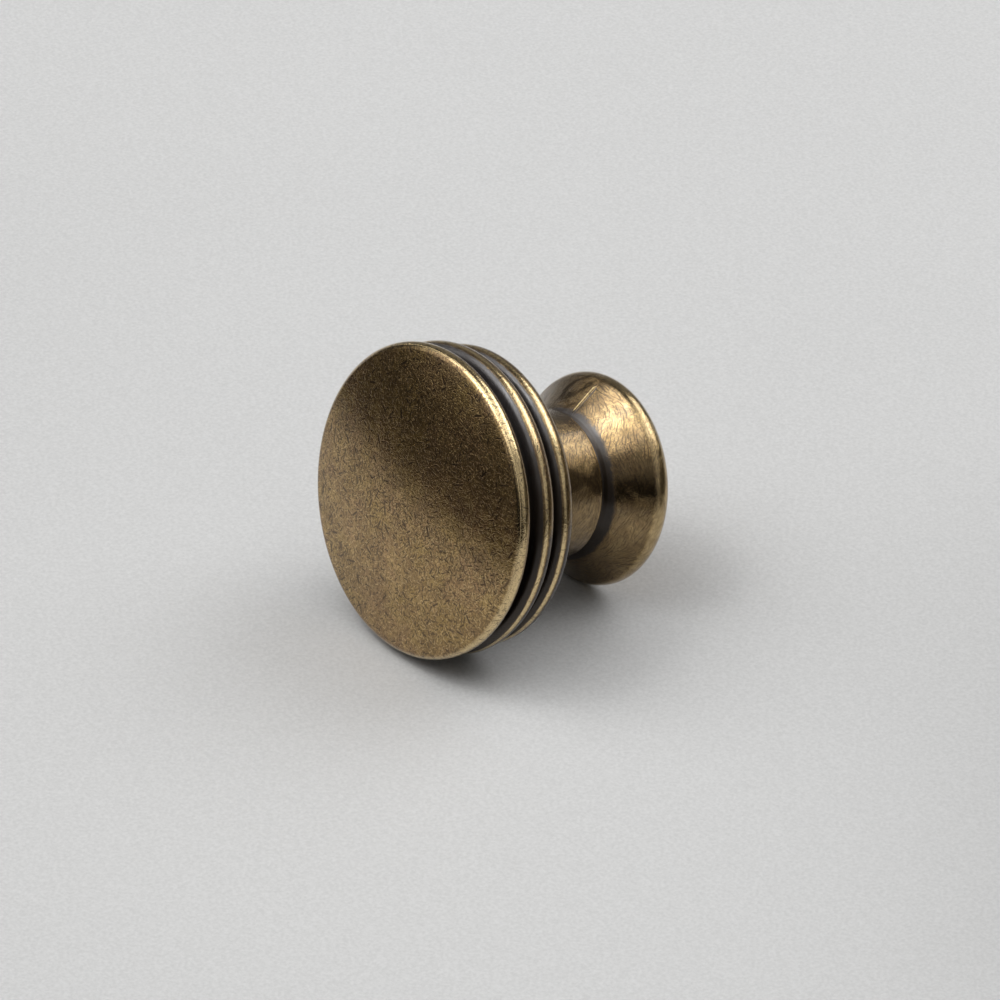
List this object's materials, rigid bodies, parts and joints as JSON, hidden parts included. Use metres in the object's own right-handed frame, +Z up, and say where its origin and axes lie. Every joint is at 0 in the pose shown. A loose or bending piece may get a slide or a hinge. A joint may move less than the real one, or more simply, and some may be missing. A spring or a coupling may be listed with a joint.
{
  "type": "cabinet knob",
  "caption": "Round antique brass cabinet knob with a gently crowned face, a ringed rim, a short neck and a flared foot with a tapped hole for the fixing screw.",
  "frame": {"origin": "centre of the screw hole's mouth, in the plane of the mounting face", "axes": "+Y along the knob's axis out of the mounting face, so the crowned face looks to -Y; +Z is up on an upright door or drawer front"},
  "size_m": [0.032, 0.0258, 0.032],
  "materials": {
    "antique_brass": "aged, darkened in the grooves and rubbed bright on the edges"
  },
  "bodies": {
    "root": {"knob": "antique_brass"}
  },
  "joints": []
}
